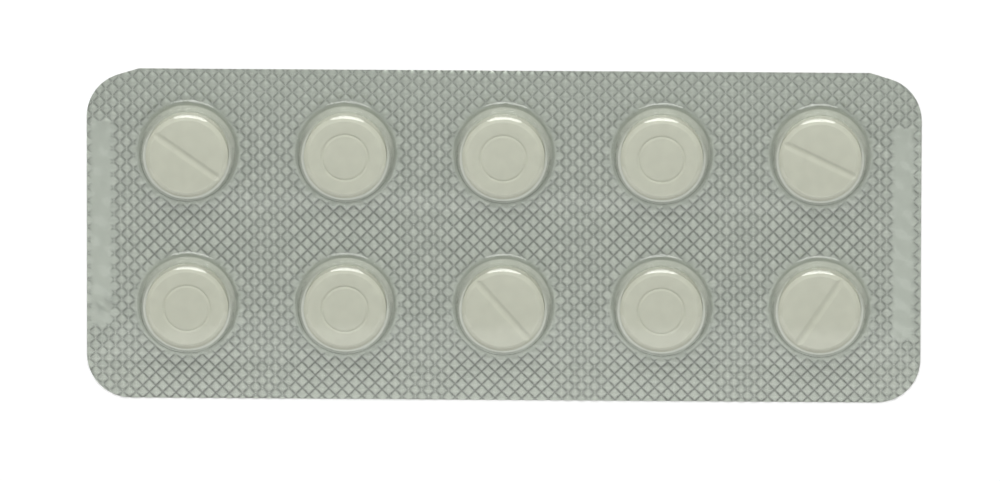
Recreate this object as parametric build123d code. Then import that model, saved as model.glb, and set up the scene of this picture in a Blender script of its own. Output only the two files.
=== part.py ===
"""Push-through blister pack: a clear thermoformed film with ten pockets, sealed to an aluminium
lidding foil, with one flat bevel-edged tablet loose in each pocket.

Millimetres, +Z up. The pack lies on its foil. The origin is at the middle of the pack's length and
width, on the surface that it lies on. The pockets stand up from the film.
"""

import os
from itertools import cycle
from math import cos, radians, sin, tan

from build123d import *

# Outline of the die-cut pack
pack_length = 95.0
pack_width = 38.0
corner_radius = 5.0
nip_length = 5.9  # how far the corner punch bites along the rear edge
nip_angle = 17.0  # slope at which that bite runs out into the rear edge, degrees

# Sheets
foil_thickness = 0.03
film_thickness = 0.25
pocket_wall = 0.20  # the film is drawn thinner in the pocket than in the sheet

# Pocket layout
columns = 5
rows = 2
end_share = 0.865  # sealed margin at an end, as a share of the web between two columns
side_share = 0.736  # sealed margin along a side, as a share of the web between the rows
row_shift = 0.6  # the die cut lies this far off the middle of the two rows

# Tablet
tablet_diameter = 9.4
tablet_thickness = 3.2
bevel_width = 0.53
bevel_height = 0.28
score_width = 0.7
score_depth = 0.28

# Pocket form
side_clearance = 0.30  # between the tablet's edge and the pocket wall
head_clearance = 0.25  # between the tablet's face and the pocket roof
wall_draft = 8.0  # degrees off upright
shoulder_radius = 0.68  # outside, spanned by one flat where the wall turns into the roof
draw_hollow = 0.01  # how far drawing leaves the wall from straight

# Which face of each tablet is up, and how far it has turned in degrees, the front row first
SCORE_UP, SCORE_DOWN = True, False
tablet_poses = (
    (SCORE_DOWN, -62.0),
    (SCORE_DOWN, 175.0),
    (SCORE_UP, -48.0),
    (SCORE_DOWN, -58.0),
    (SCORE_UP, 56.0),
    (SCORE_UP, -35.0),
    (SCORE_DOWN, 140.0),
    (SCORE_DOWN, 160.0),
    (SCORE_DOWN, 215.0),
    (SCORE_UP, -25.0),
)

# Heights that the pieces share
film_underside = foil_thickness
film_top = film_underside + film_thickness
roof_underside = foil_thickness + tablet_thickness + head_clearance
roof_top = roof_underside + pocket_wall


def pack_outline():
    """Die-cut outline: two plain round corners in front, two that the punch nipped at the rear."""
    right, rear = pack_length / 2, pack_width / 2
    nip_drop = nip_length * tan(radians(nip_angle))
    corners = Polygon(
        (-right, -rear),
        (right, -rear),
        (right, rear - nip_drop),
        (right - nip_length, rear),
        (nip_length - right, rear),
        (-right, rear - nip_drop),
        align=None,
    )
    at_the_ends = [v for v in corners.vertices() if abs(abs(v.X) - right) < 1e-6]
    return fillet(at_the_ends, corner_radius)


def turned(corners, drawn_side=None):
    """Solid turned about Z from the corners (radius, height) of its half section.

    The drawn side, counted from the first corner, is hollowed a little. The others are straight.
    """
    sides = []
    for number, ((r1, z1), (r2, z2)) in enumerate(zip(corners, corners[1:] + corners[:1])):
        start, end = (r1, 0, z1), (r2, 0, z2)
        middle = ((r1 + r2) / 2 - draw_hollow, 0, (z1 + z2) / 2)
        sides.append(Bezier(start, middle, end) if number == drawn_side else Line(start, end))
    return revolve(make_face(Wire(sides)), Axis.Z)


def wall_radius(height):
    """Inside radius of a pocket at a height, set by the clearance at the tablet's upper edge."""
    edge_height = foil_thickness + tablet_thickness - bevel_height
    edge_radius = tablet_diameter / 2 + side_clearance
    return edge_radius + (edge_height - height) * tan(radians(wall_draft))


def outer_radius(height):
    """Outside radius of a pocket at a height, one wall thickness off its inside."""
    return wall_radius(height) + pocket_wall / cos(radians(wall_draft))


def pitch(span, count, margin_share):
    """Distance between neighbouring pockets that fills a span with webs and two margins."""
    foot = 2 * outer_radius(film_top)
    web = (span - count * foot) / (count - 1 + 2 * margin_share)
    return foot + web


def pocket_places():
    """Middle of each pocket, the front row first and each row from left to right."""
    across = pitch(pack_length, columns, end_share)
    up = pitch(pack_width, rows, side_share)
    return [
        (across * (column - (columns - 1) / 2), row_shift + up * (row - (rows - 1) / 2))
        for row in range(rows)
        for column in range(columns)
    ]


def pocket_form(skin):
    """The inside of a pocket, grown by a skin: drafted wall, sloped shoulder and flat roof."""
    lean = radians(wall_draft)
    turn_radius = shoulder_radius - pocket_wall + skin
    turn_height = roof_top - shoulder_radius
    wall_end = turn_height + turn_radius * sin(lean)
    wall_end_radius = wall_radius(wall_end) + skin / cos(lean)
    corners = [
        (0, film_underside),
        (wall_radius(film_underside) + skin / cos(lean), film_underside),
        (wall_end_radius, wall_end),
        (wall_end_radius - turn_radius * cos(lean), turn_height + turn_radius),
        (0, turn_height + turn_radius),
    ]
    return turned(corners, drawn_side=1)


def blister_film():
    """Clear sheet and its pockets, one drawn piece."""
    film = extrude(Pos(0, 0, film_underside) * pack_outline(), film_thickness)
    places = [Pos(x, y, 0) for x, y in pocket_places()]
    outside, inside = pocket_form(pocket_wall), pocket_form(0)
    film += [place * outside for place in places]
    film -= [place * inside for place in places]
    return film


def lidding_foil():
    """Foil that closes every pocket, cut with the film to the same outline."""
    return extrude(pack_outline(), foil_thickness)


def tablet():
    """Flat bevel-edged tablet standing on Z 0, with a score line along X across its upper face."""
    radius, face_radius = tablet_diameter / 2, tablet_diameter / 2 - bevel_width
    corners = [
        (0, 0),
        (face_radius, 0),
        (radius, bevel_height),
        (radius, tablet_thickness - bevel_height),
        (face_radius, tablet_thickness),
        (0, tablet_thickness),
    ]
    notch = Polygon((-score_width / 2, 0), (0, -score_depth), (score_width / 2, 0), align=None)
    across = Plane.YZ.offset(-radius) * Pos(0, tablet_thickness) * notch
    return turned(corners) - extrude(across, tablet_diameter)


def tablets():
    """One tablet in each pocket, resting on the foil."""
    whole = tablet()
    middle = tablet_thickness / 2
    placed = []
    for (x, y), (score_up, turn) in zip(pocket_places(), cycle(tablet_poses)):
        flip = Rot(0 if score_up else 180, 0, 0)
        upright = Pos(0, 0, middle) * flip * Pos(0, 0, -middle)
        placed.append(Pos(x, y, foil_thickness) * Rot(0, 0, turn) * upright * whole)
    return placed


def main():
    os.makedirs("parts", exist_ok=True)
    nodes = {"lidding_foil": lidding_foil(), "blister_film": blister_film()}
    for number, piece in enumerate(tablets(), start=1):
        nodes[f"tablet_{number:02d}"] = piece
    for name, shape in nodes.items():
        export_step(shape, f"parts/{name}.step")


main()
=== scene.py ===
# %% [markdown]
# # A pill blister pack
# The pack is two thin sheets and ten tablets. A clear plastic film, drawn into round pockets, is
# sealed to a sheet of aluminium foil. The sealing roller leaves a knurl of small diamonds wherever
# film and foil meet. The CAD frame has the sizes and the places of all twelve pieces. This lesson
# keeps them, and adds what the frame is too coarse for: rounded pockets, the knurl, soft tablet
# edges and finishes.

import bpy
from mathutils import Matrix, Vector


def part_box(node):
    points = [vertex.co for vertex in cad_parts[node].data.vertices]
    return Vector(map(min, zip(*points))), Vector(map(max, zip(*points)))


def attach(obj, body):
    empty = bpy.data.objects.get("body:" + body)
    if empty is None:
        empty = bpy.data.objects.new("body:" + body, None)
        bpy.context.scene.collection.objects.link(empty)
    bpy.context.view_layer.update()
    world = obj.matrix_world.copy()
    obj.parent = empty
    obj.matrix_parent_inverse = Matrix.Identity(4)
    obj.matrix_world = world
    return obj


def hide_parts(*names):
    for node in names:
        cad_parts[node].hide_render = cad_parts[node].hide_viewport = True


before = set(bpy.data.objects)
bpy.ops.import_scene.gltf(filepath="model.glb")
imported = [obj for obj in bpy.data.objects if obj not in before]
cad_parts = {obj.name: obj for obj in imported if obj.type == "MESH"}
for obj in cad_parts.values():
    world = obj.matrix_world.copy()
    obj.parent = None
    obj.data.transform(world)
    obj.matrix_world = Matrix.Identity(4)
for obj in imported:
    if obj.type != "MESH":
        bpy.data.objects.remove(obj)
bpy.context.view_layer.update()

# %% [markdown]
# ## Sizes
# The frame already knows how long the pack is and where each pocket lies, so these are read from
# the boxes of its nodes. Blender counts in metres. A pack this small is easier to think of in
# millimetres, so the sizes stay in millimetres until a mesh is made.

# %% Read the sizes that the frame gives
import numpy as np

MM = 0.001
tablet_names = sorted(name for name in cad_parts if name.startswith("tablet_"))


def box_mm(node):
    """Lowest and highest corner of a CAD node in millimetres."""
    return [np.array(corner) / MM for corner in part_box(node)]


_, film_high = box_mm("blister_film")
foil_low, foil_high = box_mm("lidding_foil")
tablet_low, tablet_high = box_mm(tablet_names[0])
pocket_middles = np.array([np.mean(box_mm(name), axis=0)[:2] for name in tablet_names])
half_length, half_width, roof_top = film_high
foil_top = foil_high[2]
foil_thickness = foil_top - foil_low[2]
tablet_radius = (tablet_high[0] - tablet_low[0]) / 2
tablet_thickness = tablet_high[2] - tablet_low[2]
print("pack", 2 * half_length, "by", 2 * half_width, "mm, pockets:", len(pocket_middles))

# %% [markdown]
# ## The outline
# Film and foil are punched out together, so one outline serves both. The two front corners are
# plain arcs. At the rear the punch bites further along the edge, and each arc runs out in a short
# straight slope. A curve object could hold this. A list of points is enough, because both sheets
# are only cut to it later.

# %% Round a corner
import math

corner_steps = 14


def rounded_corner(before, corner, after, radius):
    """Points along the arc that rounds one corner."""
    towards = [np.array(p) - corner for p in (before, after)]
    towards = [t / np.linalg.norm(t) for t in towards]
    half_angle = math.acos(towards[0] @ towards[1]) / 2
    bisector = (towards[0] + towards[1]) / np.linalg.norm(towards[0] + towards[1])
    middle = corner + bisector * radius / math.sin(half_angle)
    ends = [corner + t * radius / math.tan(half_angle) - middle for t in towards]
    first, last = (math.atan2(e[1], e[0]) for e in ends)
    last = first + (last - first) % (2 * math.pi)
    angles = np.linspace(first, last, corner_steps)
    return [middle + radius * np.array((math.cos(a), math.sin(a))) for a in angles]


print("a right angle takes", len(rounded_corner((1, 0), np.zeros(2), (0, 1), 0.5)), "points")

# %% Lay out the punched outline
corner_radius = 5.0
nip_length = 5.9
nip_slope = math.tan(math.radians(17.0))
kept_sharp = (3, 4)


def punched_outline():
    """Outline of the pack as points, anticlockwise. The two ends of the rear edge stay corners."""
    shoulder = half_width - nip_length * nip_slope
    corners = [
        (-half_length, -half_width),
        (half_length, -half_width),
        (half_length, shoulder),
        (half_length - nip_length, half_width),
        (nip_length - half_length, half_width),
        (-half_length, shoulder),
    ]
    points = []
    for i, corner in enumerate(map(np.array, corners)):
        if i in kept_sharp:
            points.append(corner)
        else:
            following = corners[(i + 1) % len(corners)]
            points += rounded_corner(corners[i - 1], corner, following, corner_radius)
    return np.array(points)


outline = punched_outline()
print("outline points:", len(outline))

# %% [markdown]
# ## The net of grooves
# The sealing roller presses a net of crossing grooves into the foil, at 45 degrees to the edges,
# and leaves a pillow in each mesh of the net. A bump map would do from straight above. Real relief
# also holds at a slant and in the exported model. Two numbers give a point's place in the net, one
# across each set of grooves. The grooves run where these are whole numbers.

# %% Find a point's place in the net
groove_pitch = np.array((1.5, 1.534))
groove_start = np.array((0.168, 0.376))


def in_net(x, y):
    """Place of each point in the net of grooves."""
    s = (x + y) / groove_pitch[0] + groove_start[0]
    return s, (x - y) / groove_pitch[1] + groove_start[1]


def out_of_net(s, d):
    """The point (x, y) at a place in the net."""
    s, d = (s - groove_start[0]) * groove_pitch[0], (d - groove_start[1]) * groove_pitch[1]
    return (s + d) / 2, (s - d) / 2


print("distance between grooves:", groove_pitch / math.sqrt(2), "mm")

# %% [markdown]
# ## How hard the roller pressed
# The knurl isn't the same all over. In front of a pocket and behind it the roller pressed hard,
# most of all along the front edge, and the grooves are thin and sharp. Beside the pockets the
# pillows are round, and the crossings of the grooves stay raised. This could be painted by hand. A
# number from 0 to 1 for each point, which fades with a smooth step, needs no painting.

# %% Say how hard the roller pressed
round_from, round_fade = 8.5, 4.0
sharp_from, sharp_fade = 2.5, 3.5
softer_to_rear = ((-12, 0, 8, 14), (1.0, 0.85, 0.6, 0.3))


def eased(value):
    """Smooth step from 0 to 1."""
    t = np.clip(value, 0, 1)
    return t * t * (3 - 2 * t)


def from_pockets(x, y):
    """Distance from each point to the nearest pocket's middle."""
    return np.min([np.hypot(x - px, y - py) for px, py in pocket_middles], axis=0)


def crispness(x, y):
    """0 where the pillows are round, 1 where the grooves are sharp."""
    aside = np.min([np.abs(x - px) for px, _ in pocket_middles], axis=0)
    away = np.min([np.abs(y - py) for _, py in pocket_middles], axis=0)
    beside = eased((round_from - aside) / round_fade)
    return beside * eased((away - sharp_from) / sharp_fade) * np.interp(y, *softer_to_rear)


print("front edge, middle:", crispness(np.zeros(1), np.full(1, -half_width)).round(2))

# %% [markdown]
# ## The flat strips
# A strip near each end was pressed flat after sealing. Its edges are soft, because the pillows
# there are only half flattened. Thin foil is never quite even, so the strip rises and falls a
# little, and handling has left one dent. Sculpting could do this. Two sine waves and the slope of a
# bell curve need no extra mesh and no hand work.

# %% Flatten the strips
strip_boxes = ((-47.1, -44.7, -10.5, 12.9), (44.3, 46.6, -11.6, 12.6))
strip_edge = 0.5
wave_height, wave_numbers = 0.35, ((1.9, 0.7), (-0.5, 1.6))
dent_middle, dent_turn = (-45.5, -8.3), math.radians(-51.0)
# dent_shade is painted shade on both flanks of the dent.
dent_size, dent_depth, dent_shade = (1.0, 0.7), 0.8, 0.33


def flattened(x, y):
    """1 in the flat strips, falling to 0 over their soft edges."""
    inside = [
        np.minimum(np.minimum(x - left, right - x), np.minimum(y - front, rear - y))
        for left, right, front, rear in strip_boxes
    ]
    return eased(np.max(inside, axis=0) / strip_edge + 0.5)


def waves(x, y):
    """Gentle rise and fall of a strip, as a share of the knurl's height."""
    first, second = (np.sin(a * x + b * y) for a, b in wave_numbers)
    return wave_height * first * second


def dent(x, y):
    """Depth of the dent, as a share of the knurl's height. Its front side is pushed up."""
    x, y = x - dent_middle[0], y - dent_middle[1]
    along = (x * math.cos(dent_turn) + y * math.sin(dent_turn)) / dent_size[0]
    across = (y * math.cos(dent_turn) - x * math.sin(dent_turn)) / dent_size[1]
    return dent_depth * math.sqrt(2 * math.e) * across * np.exp(-(along**2) - across**2)


for left, right, front, rear in strip_boxes:
    print("strip", round(right - left, 1), "by", round(rear - front, 1), "mm")

# %% [markdown]
# ## The pillows
# Across a groove the height climbs steeply to a lip, and from there gently to the top of a pillow.
# The product of both sets of grooves gives the pillows. Where the roller pressed lightly, their
# corners are rounded off and look like beads. A sculpted pillow could be copied to every mesh of
# the net, but a formula lets each one be as sharp or as round as its place asks.

# %% Shape the pillows
groove_reach = 0.18
lip_height, lip_gain = 0.75, 0.22
bead_top, bead_flank = 0.3, 0.2
bead_drop, bead_shade = 0.3, 0.35
crossing_height, crossing_shade = 0.6, 0.3
on_line = 0.01


def rise(line, crisp):
    """Share of the full height across one set of grooves."""
    from_groove = np.abs(line - np.round(line))
    lip = lip_height + lip_gain * crisp
    over = (from_groove - groove_reach) / (0.5 - groove_reach)
    return np.where(over < 0, from_groove / groove_reach * lip, lip + over * (1 - lip))


def pillows(s, d, crisp):
    """Share of the full height at a place in the net, and the strength of painted shade there."""
    height = rise(s, crisp) * rise(d, crisp)
    bottom = height < on_line
    from_top = np.hypot(s - np.floor(s) - 0.5, d - np.floor(d) - 0.5)
    round_off = eased((from_top - bead_top) / bead_flank) * (1 - crisp)
    height = height * (1 - bead_drop * round_off)
    # The groove mark is painted shade: full in the grooves, partial on round beads' flanks.
    groove = np.maximum(bottom, round_off * bead_shade)
    crossing = np.abs(s - np.round(s)) + np.abs(d - np.round(d)) < 2 * on_line
    height = np.where(crossing, crossing_height * (1 - crisp), height)
    return height, np.where(crossing, crossing_shade + (1 - crossing_shade) * crisp, groove)


print("lips", lip_height, "to", lip_height + lip_gain, "of a pillow's height")

# %% [markdown]
# ## The finished knurl
# Round each pocket and in the strips the height levels out. The finish of the foil paints shade
# into the grooves, so the same function also returns marks that say where. They become attributes
# of the mesh later. Painted textures could carry them, but would have to be lined up with the
# relief. Along the rear edge and the ends the painted groove shade is weaker.

# %% Level the knurl and mark it
knurl_height = 0.085
round_pillow_gain = 1.8
flat_level = 0.6
bare_ring, ring_slope = 5.78, 0.6
# How the painted groove shade weakens towards the rear edge and the ends.
rear_fade = ((10, 16), (1.0, 0.55))
end_fade = ((40, 47), (1.0, 0.6))
# Painted light and shade: pillows lighter along the front edge, darker along the rear.
front_light_rear_shade = ((-17, -11, 10, 16), (0.5, 0.0, 0.0, -0.7))
crease_least = 0.75
# Painted light on the ring round each pocket; the flat strips are painted a little lighter.
strip_lightening, ring_painted_light = 0.12, 0.05
even_tone = 0.5
scatter = (12.9898, 78.233, 43758.5453)


def scattered(s, d):
    """A number from 0 to 1 for each pillow. It looks random and is the same in every run."""
    mixed = np.floor(s + on_line) * scatter[0] + np.floor(d + on_line) * scatter[1]
    chance = np.sin(mixed) * scatter[2]
    return chance - np.floor(chance)


def knurl(x, y):
    """Height of the knurl over the flat foil, and the marks that the finish reads."""
    s, d = in_net(x, y)
    crisp = crispness(x, y)
    height, groove = pillows(s, d, crisp)
    pressed = eased((from_pockets(x, y) - bare_ring) / ring_slope)
    flat, dented = flattened(x, y), dent(x, y)
    left = pressed * (1 - flat)
    height = height * left + (flat_level + waves(x, y) * flat) * (1 - left) - dented
    gain = round_pillow_gain + (1 - round_pillow_gain) * crisp
    # Painted shade in the grooves, weaker to the rear and ends, and on both flanks of the dent.
    groove_shade_fade = np.minimum(np.interp(y, *rear_fade), np.interp(np.abs(x), *end_fade))
    groove = np.maximum(groove * left * groove_shade_fade, dent_shade * np.abs(dented) / dent_depth)
    tone = scattered(s, d) * (1 - flat) + even_tone * flat
    marks = {
        "groove": groove,
        # A thin dark line of painted shade along the bottom of the grooves.
        "crease_shade": groove * (crease_least + (1 - crease_least) * crisp),
        # Painted light round the pockets; the flat strips are painted a little lighter.
        "lightened": strip_lightening * flat + ring_painted_light * (1 - pressed),
        # Each pillow's own tone plus painted light along the front edge and painted shade at the
        # rear.
        "pillow": tone + np.interp(y, *front_light_rear_shade),
    }
    return np.maximum(height, 0) * knurl_height * gain, marks


print("knurl", knurl_height, "to", knurl_height * round_pillow_gain, "mm high")

# %% [markdown]
# ## The knurled grid
# The grid of the mesh runs along the grooves, with lines only where the height bends: at the
# bottom of a groove, at its lips and over a pillow's top. It runs past the edges of the pack and
# over the pockets, so it is cut. A boolean could cut it, slowly. Here each point gets its distance
# to the cut, below zero where the sheet stays, and a face across the cut is trimmed where that
# distance is zero.

# %% Make a grid along the grooves
def knurl_grid():
    """Points and four-sided faces of a grid along the grooves that covers the pack."""
    reach = math.ceil((half_length + half_width) / groove_pitch.min()) + 1
    bends = np.array((0.0, groove_reach, 0.5, 1 - groove_reach))
    lines = np.concatenate([k + bends for k in range(-reach, reach)])
    s, d = np.meshgrid(lines, lines, indexing="ij")
    points = np.stack(out_of_net(s, d), axis=-1).reshape(-1, 2)
    n = len(lines)
    i, j = (a.ravel() for a in np.meshgrid(range(n - 1), range(n - 1), indexing="ij"))
    corner = i * n + j
    return points, np.stack((corner, corner + n, corner + n + 1, corner + 1), axis=1)


grid_points, grid_faces = knurl_grid()
print("grid:", len(grid_points), "points,", len(grid_faces), "faces")

# %% Cut the grid to the sealed area
def to_cut(x, y):
    """Distance to the edge of the sealed area, below zero inside it."""
    run = np.roll(outline, -1, axis=0) - outline
    normal = np.stack((run[:, 1], -run[:, 0]), axis=1) / np.linalg.norm(run, axis=1)[:, None]
    edges = zip(outline, normal)
    outside = np.max([(x - p[0]) * n[0] + (y - p[1]) * n[1] for p, n in edges], axis=0)
    return np.maximum(outside, bare_ring - from_pockets(x, y))


def trim(faces, depth, points):
    """Faces across the cut, trimmed. New points go to the end of the list of points."""
    made = {}
    for face in faces:
        trimmed = []
        for a, b in zip(face, np.roll(face, -1)):
            if depth[a] <= 0:
                trimmed.append(a)
            if (depth[a] <= 0) != (depth[b] <= 0):
                key = (min(a, b), max(a, b))
                if key not in made:
                    share = depth[a] / (depth[a] - depth[b])
                    made[key] = len(points)
                    points.append(points[a] * (1 - share) + points[b] * share)
                trimmed.append(made[key])
        yield tuple(trimmed)


def cut_grid():
    """Points (x, y) and faces of the grid, trimmed to the sealed area."""
    points, depth = list(grid_points), to_cut(grid_points[:, 0], grid_points[:, 1])
    inside = depth[grid_faces] <= 0
    whole, some = inside.all(axis=1), inside.any(axis=1)
    kept = [tuple(f) for f in grid_faces[whole]]
    kept += trim(grid_faces[some & ~whole], depth, points)
    used = sorted({v for f in kept for v in f})
    renumber = {old: new for new, old in enumerate(used)}
    return np.array([points[v] for v in used]), [tuple(renumber[v] for v in f) for f in kept]


sheet_points, sheet_faces = cut_grid()
sheet_relief, sheet_marks = knurl(sheet_points[:, 0], sheet_points[:, 1])
sheet_height = foil_top + sheet_relief
print("knurled sheet:", len(sheet_points), "points,", len(sheet_faces), "faces")

# %% Find the sheet's rims
def rims(faces):
    """Open edges of a mesh, chained into loops. The longest loop comes first."""
    edges = {(a, b) for f in faces for a, b in zip(f, f[1:] + f[:1])}
    following = {a: b for a, b in edges if (b, a) not in edges}
    loops = []
    while following:
        loop = [next(iter(following))]
        while loop[-1] in following:
            loop.append(following.pop(loop[-1]))
        loops.append(loop[:-1])
    return sorted(loops, key=len, reverse=True)


outer_rim, *pocket_rims = rims(sheet_faces)
print("points round the pack:", len(outer_rim), "- pocket rims:", len(pocket_rims))

# %% [markdown]
# ## From lists to a Blender object
# Every piece below ends as a list of points and a list of faces. One helper makes the mesh with
# bmesh, turns all faces outwards and smooths it. An edge stays sharp where two faces meet at more
# than a given angle. The helper also counts open edges, because a closed piece has none.

# %% A helper that makes a piece
import bmesh
import bpy

sharp_angle = math.radians(35.0)


def make_piece(name, points, faces):
    """Mesh object from points in millimetres, smooth but for its sharp edges."""
    mesh = bpy.data.meshes.new(name)
    in_metres = [tuple(float(c) * MM for c in p) for p in points]
    mesh.from_pydata(in_metres, [], [tuple(map(int, f)) for f in faces])
    grown = bmesh.new()
    grown.from_mesh(mesh)
    bmesh.ops.recalc_face_normals(grown, faces=grown.faces)
    for face in grown.faces:
        face.smooth = True
    for edge in grown.edges:
        edge.smooth = len(edge.link_faces) == 2 and edge.calc_face_angle() < sharp_angle
    grown.to_mesh(mesh)
    open_edges = sum(len(e.link_faces) != 2 for e in grown.edges)
    grown.free()
    piece = bpy.data.objects.new(name, mesh)
    bpy.context.collection.objects.link(piece)
    triangles = sum(len(p.vertices) - 2 for p in mesh.polygons)
    print(name, triangles, "triangles,", open_edges, "open edges")
    return piece


# %% [markdown]
# ## The lidding foil
# The foil is so thin that its underside shows the same knurl as its top, turned inside out. A
# Solidify modifier would thicken the sheet, but would bulge at the grooves. So the sheet is used
# twice, one foil thickness apart, and joined along the rim. Under each pocket the foil steps down
# to the flat floor that the tablet lies on, painted lighter as painted light in the shaded gap
# round the tablet. The underside's marks are weaker: less painted shade and less painted light.

# %% Build the foil
# Rings of each pocket floor and how much painted light they get. The underside gets less.
floor_rings = ((5.5, 0.1), (5.3, 1.0))
underside_share = {"groove": 0.2, "crease_shade": 0.0, "lightened": 0.2, "pillow": 1.0}


def foil_sheet():
    """Points, faces and marks of one side of the foil, with the floors of the pockets."""
    points, faces = list(map(tuple, sheet_points)), list(sheet_faces)
    marks = {name: list(values) for name, values in sheet_marks.items()}
    for rim in pocket_rims:
        middle, outer = sheet_points[rim].mean(axis=0), rim
        for radius, bright in floor_rings:
            inner = list(range(len(points), len(points) + len(rim)))
            ring = middle + (sheet_points[rim] - middle) * radius / bare_ring
            points += map(tuple, ring)
            for name, values in marks.items():
                values += [{"lightened": bright, "pillow": even_tone}.get(name, 0.0)] * len(rim)
            pairs = list(zip(outer, inner))
            faces += [(b, a, c, d) for (a, c), (b, d) in zip(pairs, pairs[1:] + pairs[:1])]
            outer = inner
        faces.append(tuple(reversed(inner)))
    return points, faces, marks


def build_foil():
    """The foil as a closed piece, with its marks as attributes of the mesh."""
    points, faces, marks = foil_sheet()
    count = len(points)
    height = np.append(sheet_height, np.full(count - len(sheet_points), foil_top))
    top = np.column_stack((points, height))
    faces += [tuple(v + count for v in reversed(f)) for f in faces]
    rim_pairs = zip(outer_rim, outer_rim[1:] + outer_rim[:1])
    faces += [(a, a + count, b + count, b) for a, b in rim_pairs]
    both_sides = np.vstack((top, top - (0, 0, foil_thickness)))
    piece = make_piece("lidding_foil_knurled", both_sides, faces)
    for name, values in marks.items():
        stored = piece.data.attributes.new(name, "FLOAT", "POINT")
        under = np.array(values) * underside_share[name]
        stored.data.foreach_set("value", np.append(values, under).astype(np.float32))
    return piece


foil = build_foil()

# %% [markdown]
# ## A pocket's section
# The film is heated and drawn into the pockets. A drawn corner is never sharp, so the wall flares
# out of the sheet in one arc and turns into the roof in two, a tight one and a wider one. Half of
# a pocket's section, as a list of radius and height, holds all of that. Turning it round the
# pocket's middle is then the same for all ten.

# %% Work out half of a pocket's section
film_thickness = 0.25
pocket_wall = 0.20
side_clearance = 0.30
bevel_width, bevel_height = 0.53, 0.28
draft = math.radians(8.0)
flare_radius = 1.0
crown_radius, knuckle_radius, arcs_meet = 1.6, 0.5, math.radians(38.0)
flare_steps, knuckle_steps, crown_steps = 7, 6, 8
inner_foot_inset, inner_foot_lift = 0.01, 0.07
film_top = foil_top + film_thickness


def wall_radius(height):
    """Inside radius of a pocket at a height."""
    edge_height = foil_top + tablet_thickness - bevel_height
    return tablet_radius + side_clearance + (edge_height - height) * math.tan(draft)


def arc(middle, radius, first, last, steps):
    """Points along an arc in the section, angles in radians."""
    angles = np.linspace(first, last, steps)
    return [(middle[0] + radius * math.cos(a), middle[1] + radius * math.sin(a)) for a in angles]


def pocket_section():
    """Half sections as (radius, height): the outside from its foot up, then the inside down."""
    upright = math.pi / 2
    skin = pocket_wall / math.cos(draft)
    step = crown_radius - knuckle_radius
    sides = (math.sin(arcs_meet), math.cos(arcs_meet))
    drop = crown_radius - step * sides[1] - knuckle_radius * math.sin(draft)
    reach = step * sides[0] + knuckle_radius * math.cos(draft)
    crown = (wall_radius(roof_top - drop) + skin - reach, roof_top - crown_radius)
    knuckle = (crown[0] + step * sides[0], crown[1] + step * sides[1])
    flare_height = film_top + flare_radius
    flare_end = flare_height - flare_radius * math.sin(draft)
    flare = (wall_radius(flare_end) + skin + flare_radius * math.cos(draft), flare_height)
    turnover = upright - arcs_meet
    outside = arc(flare, flare_radius, -upright, -math.pi + draft, flare_steps)
    outside += arc(knuckle, knuckle_radius, draft, turnover, knuckle_steps)[:-1]
    outside += arc(crown, crown_radius, turnover, upright, crown_steps)
    inside = arc(crown, crown_radius - pocket_wall, upright, turnover, crown_steps)
    inside += arc(knuckle, knuckle_radius - pocket_wall, turnover, draft, knuckle_steps)[1:]
    inside.append((wall_radius(foil_top) - inner_foot_inset, foil_top + inner_foot_lift))
    return outside, inside


outside_section, inside_section = pocket_section()
print("foot radius", round(outside_section[0][0], 2), "mm")
print("roof radius", round(outside_section[-1][0], 2), "mm")

# %% [markdown]
# ## The blister film
# The film is one closed skin: knurled underneath, flat on top, with ten pockets. A Screw modifier
# could turn each pocket, but its edge would then have to be welded to the sheet. Here rings of
# points are made straight from the section and joined by skirts of faces. The flat parts between
# rims of different point counts are filled by Blender's own polygon tessellation.

# %% Build the film
from mathutils import Vector
from mathutils.geometry import tessellate_polygon

round_steps = 96
film_lift = 0.004


def matching_rim(middle):
    """The rim of the knurled sheet that goes round a pocket."""
    return min(pocket_rims, key=lambda rim: np.hypot(*(sheet_points[rim].mean(axis=0) - middle)))


def build_film():
    """The film as one closed piece: the knurled sheet, the flat top and ten pockets."""
    points = [tuple(p) for p in np.column_stack((sheet_points, sheet_height + film_lift))]
    faces = [tuple(reversed(f)) for f in sheet_faces]
    turns = np.linspace(0, 2 * math.pi, round_steps, endpoint=False)

    def add_ring(middle, radius, height):
        """Add a ring of points. Returns their numbers."""
        x, y = middle[0] + radius * np.cos(turns), middle[1] + radius * np.sin(turns)
        points.extend((a, b, height) for a, b in zip(x, y))
        return list(range(len(points) - round_steps, len(points)))

    def add_skirt(low, high):
        """Join two rings of as many points with a band of faces."""
        n = len(low)
        faces.extend((low[k], low[(k + 1) % n], high[(k + 1) % n], high[k]) for k in range(n))

    def fill(loops):
        """Fill the area inside the first loop and outside the others."""
        order = [v for loop in loops for v in loop]
        corners = [[Vector(points[v]) for v in loop] for loop in loops]
        faces.extend(tuple(order[k] for k in face) for face in tessellate_polygon(corners))

    top_rim = list(range(len(points), len(points) + len(outer_rim)))
    points += [(*sheet_points[v], film_top) for v in outer_rim]
    add_skirt(outer_rim, top_rim)
    feet = []
    for middle in pocket_middles:
        outer = [add_ring(middle, *p) for p in outside_section]
        inner = [add_ring(middle, *p) for p in inside_section]
        for rings in (outer, inner):
            for low, high in zip(rings, rings[1:]):
                add_skirt(low, high)
        faces.extend((tuple(outer[-1]), tuple(inner[0])))
        feet.append(outer[0])
        fill([matching_rim(middle), inner[-1]])
    fill([top_rim] + feet)
    return make_piece("blister_film_drawn", points, faces)


film = build_film()

# %% [markdown]
# ## The tablets
# A tablet is powder pressed between two punches. Each face is flat with a narrow bevel, and the
# punches leave a score line on one face and a shallow ring on the other. The body is a turned
# profile. The score could be modelled into it, but that breaks its even rings, so a boolean cuts it
# out with a wedge. A small bevel breaks every edge, as pressed powder has no sharp ones.

# %% Turn the tablet's body
tablet_steps = 128
ring_radius, ring_width, ring_depth = 2.6, 0.42, 0.1


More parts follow.
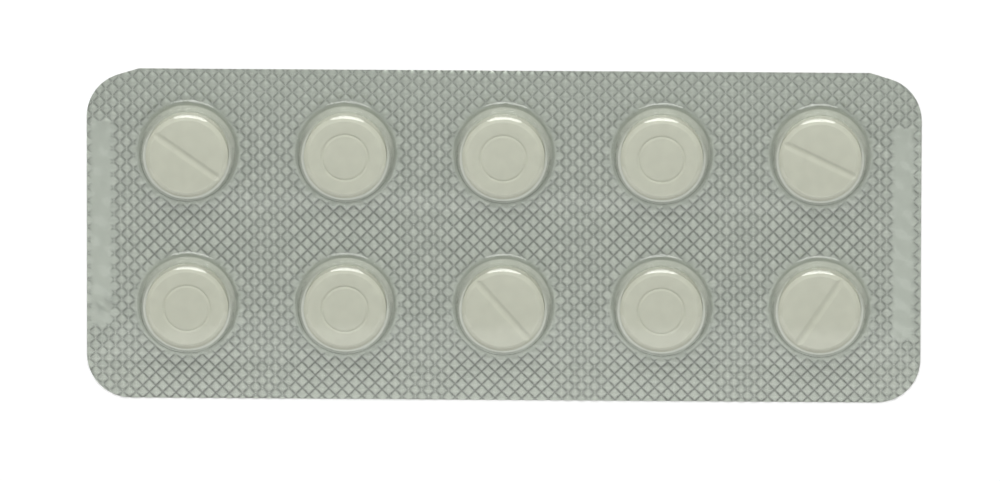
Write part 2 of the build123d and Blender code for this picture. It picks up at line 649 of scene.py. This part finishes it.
def tablet_profile():
    """Half section (radius, height) from the ringed underside to the scored top."""
    face, top = tablet_radius - bevel_width, tablet_thickness
    return [
        (ring_radius - ring_width / 2, 0),
        (ring_radius, ring_depth),
        (ring_radius + ring_width / 2, 0),
        (face, 0),
        (tablet_radius, bevel_height),
        (tablet_radius, top - bevel_height),
        (face, top),
    ]


def turn_body():
    """The tablet's profile, turned once round."""
    profile, n = tablet_profile(), tablet_steps
    angles = np.linspace(0, 2 * math.pi, n, endpoint=False)
    points = [(r * math.cos(a), r * math.sin(a), z) for r, z in profile for a in angles]
    faces = [tuple(range(n)), tuple(range(len(points) - n, len(points)))]
    for low in range(0, len(points) - n, n):
        for k in range(n):
            a, b = low + k, low + (k + 1) % n
            faces.append((a, b, b + n, a + n))
    return make_piece("tablet_body", points, faces)


tablet_body = turn_body()

# %% Cut the score and break the edges
score_width, score_depth, score_steps = 1.15, 0.2, 13
wedge_above, wedge_beyond = 0.3, 1.0
edge_break, edge_rounds, edge_angle = 0.07, 3, math.radians(15)


def score_wedge():
    """A bar with a rounded lower edge, a little longer than the tablet is wide."""
    half = score_width / 2
    across = np.linspace(-half, half, score_steps)
    curve = [(y, -score_depth * (0.5 + 0.5 * math.cos(math.pi * y / half))) for y in across]
    section = [(-half, wedge_above)] + curve + [(half, wedge_above)]
    n, reach = len(section), tablet_radius + wedge_beyond
    points = [(x, y, tablet_thickness + z) for x in (-reach, reach) for y, z in section]
    faces = [tuple(range(n)), tuple(range(n, 2 * n))]
    faces += [(k, (k + 1) % n, (k + 1) % n + n, k + n) for k in range(n)]
    return make_piece("score_wedge", points, faces)


def press_tablet(body, wedge):
    """Final mesh of a tablet. The body and the wedge are used up."""
    cut = body.modifiers.new("score", "BOOLEAN")
    cut.object, cut.operation, cut.solver = wedge, "DIFFERENCE", "EXACT"
    soft = body.modifiers.new("broken edges", "BEVEL")
    soft.width, soft.segments = edge_break * MM, edge_rounds
    soft.limit_method, soft.angle_limit = "ANGLE", edge_angle
    bpy.context.view_layer.update()
    finished = body.evaluated_get(bpy.context.evaluated_depsgraph_get())
    mesh = bpy.data.meshes.new_from_object(finished)
    for used in (body, wedge):
        bpy.data.objects.remove(used)
    mesh.shade_smooth()
    return mesh


tablet_mesh = press_tablet(tablet_body, score_wedge())
print("tablet mesh:", len(tablet_mesh.polygons), "faces")

# %% [markdown]
# ## Laying the tablets
# A filling machine drops the tablets in as they come, so some lie scored face up and others face
# down, each turned its own way. A random turn would do. This table is given instead, so
# that every run gives the same pack. All ten share one mesh, which keeps the file small.

# %% Lay a tablet in each pocket
from mathutils import Matrix

scored_up_and_turn = (
    (False, -62.0),
    (False, 175.0),
    (True, -48.0),
    (False, -58.0),
    (True, 56.0),
    (True, -35.0),
    (False, 140.0),
    (False, 160.0),
    (False, 215.0),
    (True, -25.0),
)


def lay_tablet(name, middle, scored_up, turn):
    """One tablet on the foil, on its right face and turned by an angle in degrees."""
    piece = bpy.data.objects.new(name + "_pressed", tablet_mesh)
    bpy.context.collection.objects.link(piece)
    place = Matrix.Translation((*(middle * MM), foil_top * MM))
    place = place @ Matrix.Rotation(math.radians(turn), 4, "Z")
    if not scored_up:
        place = place @ Matrix.Translation((0, 0, tablet_thickness * MM))
        place = place @ Matrix.Rotation(math.pi, 4, "X")
    piece.matrix_world = place
    return piece


laid = zip(tablet_names, pocket_middles, scored_up_and_turn)
tablets = [lay_tablet(name, middle, *lie) for name, middle, lie in laid]
print("tablets laid:", len(tablets))

# %% [markdown]
# ## Building finishes from nodes
# A finish is a small graph: a texture makes a number, a ramp turns the number into a colour, and
# the shader takes it. It could be drawn in Blender's node editor. Code gives the same graph in
# every run, but needs the same lines again and again, so a few helpers add a node, join two sockets
# and make a noise that sticks to the object.

# %% Helpers that add nodes
noise_detail = 3.0


def new_finish(name):
    """A new material and its shader node."""
    finish = bpy.data.materials.new(name)
    finish.use_nodes = True
    return finish, finish.node_tree.nodes["Principled BSDF"]


def add_node(finish, kind, **inputs):
    """A new node. From_Min=0 sets its input "From Min"."""
    node = finish.node_tree.nodes.new("ShaderNode" + kind)
    for name, value in inputs.items():
        node.inputs[name.replace("_", " ")].default_value = value
    return node


def join(finish, output, into):
    """A link from one socket to another."""
    finish.node_tree.links.new(output, into)


def add_noise(finish, scale, stretch=(1, 1, 1)):
    """Noise in the object's own coordinates. The scale is in waves per metre."""
    place = add_node(finish, "TexCoord")
    lengthen = add_node(finish, "Mapping", Scale=stretch)
    noise = add_node(finish, "TexNoise", Scale=scale, Detail=noise_detail)
    join(finish, place.outputs["Object"], lengthen.inputs["Vector"])
    join(finish, lengthen.outputs["Vector"], noise.inputs["Vector"])
    return noise.outputs["Fac"]


print("noise detail:", noise_detail)

# %% Helpers that turn a number into a look
def add_range(finish, value, low, high):
    """The value from 0 to 1, mapped to low and high."""
    node = add_node(finish, "MapRange", To_Min=low, To_Max=high)
    join(finish, value, node.inputs["Value"])
    return node.outputs["Result"]


def add_ramp(finish, value, stops):
    """Colour ramp with stops of (position, colour)."""
    node = add_node(finish, "ValToRGB")
    elements = node.color_ramp.elements
    while len(elements) < len(stops):
        elements.new(1.0)
    for element, (position, colour) in zip(elements, stops):
        element.position, element.color = position, (*colour, 1)
    join(finish, value, node.inputs["Fac"])
    return node.outputs["Color"]


def add_bump(finish, value, strength, depth_mm, shader):
    """Tilt the shader's normals as if the value were a height."""
    node = add_node(finish, "Bump", Strength=strength, Distance=depth_mm * MM)
    join(finish, value, node.inputs["Height"])
    join(finish, node.outputs["Normal"], shader.inputs["Normal"])


print("finish helpers ready")

# %% [markdown]
# ## Foil
# Lidding foil is dull aluminium with a lacquer. It is a metal, so its colour is the colour of its
# reflections. Each pillow has its own tone. The grooves, the crossings, the flanks of round beads
# and the dent are painted darker, as painted shade, and a thin dark line of painted shade runs
# along the bottom of the grooves. The pillows are painted lighter along the front edge and darker
# along the rear, as painted light and painted shade. The pocket floors and the ring round each
# pocket are painted lighter, as painted light, and the flat strips a little lighter. The marks on
# the mesh say where these go, which holds better than any pattern that is lined up by hand. A
# noise stretched along the sheet gives the fine lines of the rolling mill.

# %% A helper that reads a mark
def add_mark(finish, shade, mark, low, high, share, colour):
    """Mix a colour into a shade where a mark of the mesh is strong."""
    where = add_node(finish, "Attribute")
    where.attribute_name = mark
    amount = add_node(finish, "MapRange", From_Min=low, From_Max=high, To_Max=share)
    amount.interpolation_type = "SMOOTHSTEP"
    mix = add_node(finish, "Mix")
    mix.data_type = "RGBA"
    factor, first, second = mix.inputs[0], mix.inputs[6], mix.inputs[7]
    second.default_value = (*colour, 1)
    join(finish, where.outputs["Fac"], amount.inputs["Value"])
    join(finish, amount.outputs["Result"], factor)
    join(finish, shade, first)
    return mix.outputs[2]


print("marks on the foil:", sorted(sheet_marks))

# %% Make the foil's finish
foil_tones = ((0.0, (0.394, 0.426, 0.383)), (1.0, (0.52, 0.552, 0.499)))
foil_marks = (
    # Painted light on the pocket floors and round the pockets; the flat strips a little lighter.
    ("lightened", 0.0, 1.0, 1.0, (0.74, 0.76, 0.71)),
    # Painted shade in the grooves, at crossings, on bead flanks and round the dent.
    ("groove", 0.0, 0.6, 0.42, (0.06, 0.065, 0.06)),
    # Painted shade: a thin dark line along the bottom of the grooves.
    ("crease_shade", 0.62, 1.0, 0.45, (0.04, 0.045, 0.04)),
)
foil_roughness = (0.38, 0.5)
mill_lines = (300, 7000, 300)


def foil_finish():
    """Lacquered aluminium with a tone for each pillow, painted shade in grooves and painted light.
    """
    finish, shader = new_finish("knurled_foil")
    shader.inputs["Metallic"].default_value = 1.0
    grain = add_noise(finish, scale=900.0)
    # The pillow mark holds each pillow's own tone plus painted front light and rear shade.
    pillow = add_node(finish, "Attribute")
    pillow.attribute_name = "pillow"
    both = add_node(finish, "Math")
    both.operation = "ADD"
    join(finish, add_range(finish, grain, low=0.0, high=0.5), both.inputs[0])
    join(finish, add_range(finish, pillow.outputs["Fac"], low=0.0, high=0.5), both.inputs[1])
    shade = add_ramp(finish, both.outputs["Value"], foil_tones)
    for mark, low, high, share, colour in foil_marks:
        shade = add_mark(finish, shade, mark, low, high, share, colour)
    join(finish, shade, shader.inputs["Base Color"])
    join(finish, add_range(finish, grain, *foil_roughness), shader.inputs["Roughness"])
    rolled = add_noise(finish, scale=1.0, stretch=mill_lines)
    add_bump(finish, rolled, strength=0.15, depth_mm=0.01, shader=shader)
    return finish


foil_look = foil_finish()
print(foil_look.name, "nodes:", len(foil_look.node_tree.nodes))

# %% [markdown]
# ## Clear film
# The film is a quarter of a millimetre of clear plastic. A glass shader would bend the light at
# both of its skins and darken the thin walls, because the mesh is far too coarse for that. A thin
# skin does better: mostly see-through, a little darker where it is seen edge on, and with a
# mirror share that grows towards the edge, as on any clear plastic. Layer Weight gives that angle.
# A faint noise ripples the gloss, as drawn film is never optically flat.

# %% Make the film's finish
film_tints = (
    (0.62, (0.98, 0.985, 0.975)),
    (0.74, (0.95, 0.955, 0.94)),
    (0.87, (0.68, 0.69, 0.66)),
)
film_roughness = (0.03, 0.09)
mirror_share, mirror_power = (0.04, 0.7), 5.0


def film_finish():
    """A clear skin that darkens and mirrors where it is seen edge on."""
    finish, plain_shader = new_finish("clear_film")
    finish.node_tree.nodes.remove(plain_shader)
    haze = add_noise(finish, scale=400.0)
    edge_on = add_node(finish, "LayerWeight", Blend=0.5).outputs["Facing"]
    clear = add_node(finish, "BsdfTransparent")
    join(finish, add_ramp(finish, edge_on, film_tints), clear.inputs["Color"])
    gloss = add_node(finish, "BsdfGlossy")
    join(finish, add_range(finish, haze, *film_roughness), gloss.inputs["Roughness"])
    add_bump(finish, haze, strength=0.25, depth_mm=0.04, shader=gloss)
    steep = add_node(finish, "Math")
    steep.operation = "POWER"
    steep.inputs[1].default_value = mirror_power
    join(finish, edge_on, steep.inputs[0])
    both = add_node(finish, "MixShader")
    join(finish, add_range(finish, steep.outputs["Value"], *mirror_share), both.inputs[0])
    join(finish, clear.outputs[0], both.inputs[1])
    join(finish, gloss.outputs[0], both.inputs[2])
    join(finish, both.outputs[0], finish.node_tree.nodes["Material Output"].inputs["Surface"])
    return finish


film_look = film_finish()
print(film_look.name, "nodes:", len(film_look.node_tree.nodes))

# %% [markdown]
# ## Pressed powder
# The tablets are pressed from off-white powder. Close up the surface is matt and very finely
# grained, with a faint mottling where the powder packed more or less tightly. Two noises at those
# two scales do it: the broad one mottles the colour, and the fine one roughens the surface.

# %% Make the tablets' finish
powder_tones = ((0.25, (0.555, 0.561, 0.468)), (0.75, (0.607, 0.613, 0.512)))
powder_roughness = (0.5, 0.75)


def tablet_finish():
    """Matt, finely grained, off-white powder."""
    finish, shader = new_finish("pressed_powder")
    mottle, grain = add_noise(finish, scale=700.0), add_noise(finish, scale=6000.0)
    join(finish, add_ramp(finish, mottle, powder_tones), shader.inputs["Base Color"])
    join(finish, add_range(finish, grain, *powder_roughness), shader.inputs["Roughness"])
    add_bump(finish, grain, strength=0.3, depth_mm=0.01, shader=shader)
    return finish


tablet_look = tablet_finish()
print(tablet_look.name, "nodes:", len(tablet_look.node_tree.nodes))

# %% [markdown]
# ## Handing the pieces over
# Each piece now takes its finish, and the solid of the frame that it stands in for is hidden.
# Nothing on the pack moves, so all of them ride on the one root body.

# %% Dress the pieces and let them ride
def hand_over(piece, node, look):
    """Give a piece its finish and its body, and hide the solid that it stands in for."""
    piece.data.materials.clear()
    piece.data.materials.append(look)
    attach(piece, "root")
    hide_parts(node)


hand_over(foil, "lidding_foil", foil_look)
hand_over(film, "blister_film", film_look)
for piece, name in zip(tablets, tablet_names):
    hand_over(piece, name, tablet_look)
print("pieces handed over:", 2 + len(tablets))

# %% [markdown]
# ## The floor
# The pack lies on a plain white table. White paint alone comes out light grey, so the table glows
# a little for the camera and in reflections. The light on the pack stays as it is, and the table
# still takes the pack's shadow.

# %% Lay the floor
floor_half, floor_drop = 2.0, 0.02 * MM
floor_white, floor_roughness, floor_glow = 0.88, 0.9, 0.23
floor_corners = ((-1, -1), (1, -1), (1, 1), (-1, 1))


def floor_finish():
    """White paint that glows a little for the camera and in reflections."""
    finish, shader = new_finish("floor_paint")
    shader.inputs["Base Color"].default_value = (floor_white, floor_white, floor_white, 1)
    shader.inputs["Roughness"].default_value = floor_roughness
    shader.inputs["Emission Color"].default_value = (1, 1, 1, 1)
    path = add_node(finish, "LightPath")
    seen = path.outputs["Is Camera Ray"]
    for ray in ("Is Glossy Ray", "Is Transmission Ray"):
        also = add_node(finish, "Math")
        also.operation = "ADD"
        join(finish, seen, also.inputs[0])
        join(finish, path.outputs[ray], also.inputs[1])
        seen = also.outputs["Value"]
    glow = add_range(finish, seen, low=0.0, high=floor_glow)
    join(finish, glow, shader.inputs["Emission Strength"])
    return finish


floor_points = [(x * floor_half, y * floor_half, -floor_drop) for x, y in floor_corners]
floor_mesh = bpy.data.meshes.new("floor")
floor_mesh.from_pydata(floor_points, [], [(0, 1, 2, 3)])
floor_mesh.materials.append(floor_finish())
floor = bpy.data.objects.new("floor", floor_mesh)
bpy.context.collection.objects.link(floor)
print("floor laid,", 2 * floor_half, "m square")

# %% [markdown]
# ## The light
# Foil and film show mostly what they reflect, so the light is built as what they would see in a
# small studio: a bright band all round, a darker ring above it that gives the grooves their shade,
# and a pale ceiling. A photographed studio could be used, but a ramp by height is plainer and the
# same from all sides. A softbox behind the pack draws the bright arcs on the pockets, and gives
# each score line a dark and a bright side. A card in front shows in reflections alone, and lifts
# the foil along the front edge a little.

# %% Light the studio
sky_levels = ((0.0, 0.98), (0.3, 0.95), (0.46, 0.38), (0.75, 0.36), (0.93, 0.75), (1.0, 0.85))


def light_sky():
    """World light that depends on the height above the horizon alone."""
    world = bpy.data.worlds.new("studio")
    bpy.context.scene.world = world
    world.use_nodes = True
    direction = add_node(world, "TexCoord")
    split = add_node(world, "SeparateXYZ")
    join(world, direction.outputs["Generated"], split.inputs["Vector"])
    greys = [(height, (level, level, level)) for height, level in sky_levels]
    sky = add_ramp(world, split.outputs["Z"], greys)
    join(world, sky, world.node_tree.nodes["Background"].inputs["Color"])


def hang_softbox(name, place, size, power):
    """Oval lamp that faces the pack."""
    lamp = bpy.data.lights.new(name, "AREA")
    lamp.shape = "ELLIPSE"
    lamp.size, lamp.size_y = size
    lamp.energy = power
    box = bpy.data.objects.new(name, lamp)
    box.location = place
    box.rotation_euler = (-Vector(place)).to_track_quat("-Z", "Y").to_euler()
    bpy.context.collection.objects.link(box)
    return box


light_sky()
hang_softbox("rear_softbox", place=(0.0, 0.45, 0.45), size=(0.5, 0.3), power=2.5)
front_card = hang_softbox("front_card", place=(0.0, -0.12, 0.26), size=(0.5, 0.12), power=0.14)
front_card.visible_diffuse = False
print("lamps:", len(bpy.data.lights))

# %% [markdown]
# ## The camera
# The picture was taken from above, tipped a little towards the rear edge. A long lens from far off
# keeps the edges parallel, as they are there. The distance follows from the width that the picture
# has to take in.

# %% Set up the camera
tip, turn, roll = math.radians(-9.5), math.radians(1.5), math.radians(0.13)
lens, sensor_width = 700.0, 36.0
picture_width = 113.86
aim = Vector((-0.43, -0.57, 0.2)) * MM

camera = bpy.data.objects.new("camera", bpy.data.cameras.new("camera"))
camera.data.lens, camera.data.sensor_width = lens, sensor_width
camera.data.clip_start, camera.data.clip_end = 0.05, 50.0
away = picture_width * MM * lens / sensor_width
facing = Matrix.Rotation(turn, 4, "Y") @ Matrix.Rotation(tip, 4, "X")
facing = facing @ Matrix.Rotation(roll, 4, "Z")
camera.matrix_world = Matrix.Translation(aim) @ facing @ Matrix.Translation((0, 0, away))
bpy.context.collection.objects.link(camera)
bpy.context.scene.camera = camera
bpy.context.scene.view_settings.view_transform = "Standard"
print("camera", round(away, 2), "m away")
